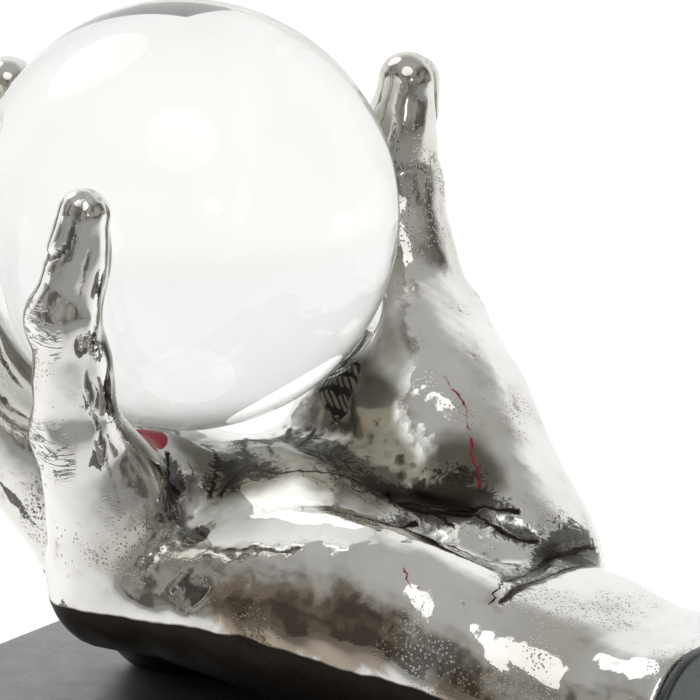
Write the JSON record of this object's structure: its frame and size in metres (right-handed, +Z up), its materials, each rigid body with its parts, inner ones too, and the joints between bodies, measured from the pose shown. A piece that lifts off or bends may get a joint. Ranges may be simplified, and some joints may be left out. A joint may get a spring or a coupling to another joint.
{
  "type": "crystal ball on hand stand",
  "caption": "Clear crystal ball resting in an upturned life-size cast metal hand on a dark stone plinth.",
  "frame": {"origin": "on the table, under the middle of the whole object", "axes": "+Z up, +X along the plinth from the fingers to the wrist, +Y from the little finger to the thumb"},
  "size_m": [0.1838, 0.12, 0.1532],
  "materials": {
    "crystal": "polished clear",
    "nickel_plate": "cast aluminium, polished and nickel plated bright, with fine pits",
    "blackened_plate": "satin, darkened",
    "black_stone": "honed",
    "felt": "pressed felt",
    "clear_bumper": "clear soft",
    "zinc_steel": "zinc plated"
  },
  "bodies": {
    "stand": {"hand_casting": "nickel_plate", "wrist_end_cap": "blackened_plate", "plinth_slab": "black_stone", "foot_1": "felt", "foot_2": "felt", "foot_3": "felt", "foot_4": "felt", "rest_pad_thumb": "clear_bumper", "rest_pad_palm": "clear_bumper", "rest_pad_fingers": "clear_bumper", "stud_palm": "zinc_steel", "washer_palm": "zinc_steel", "lock_washer_palm": "zinc_steel", "nut_palm": "zinc_steel", "stud_wrist": "zinc_steel", "washer_wrist": "zinc_steel", "lock_washer_wrist": "zinc_steel", "nut_wrist": "zinc_steel"},
    "ball": {"crystal_ball": "crystal"}
  },
  "joints": [
    {"name": "ball_lift", "type": "slide", "parent": "stand", "child": "ball", "axis": [0, 0, 1], "range_m": [0, 0.11]}
  ]
}
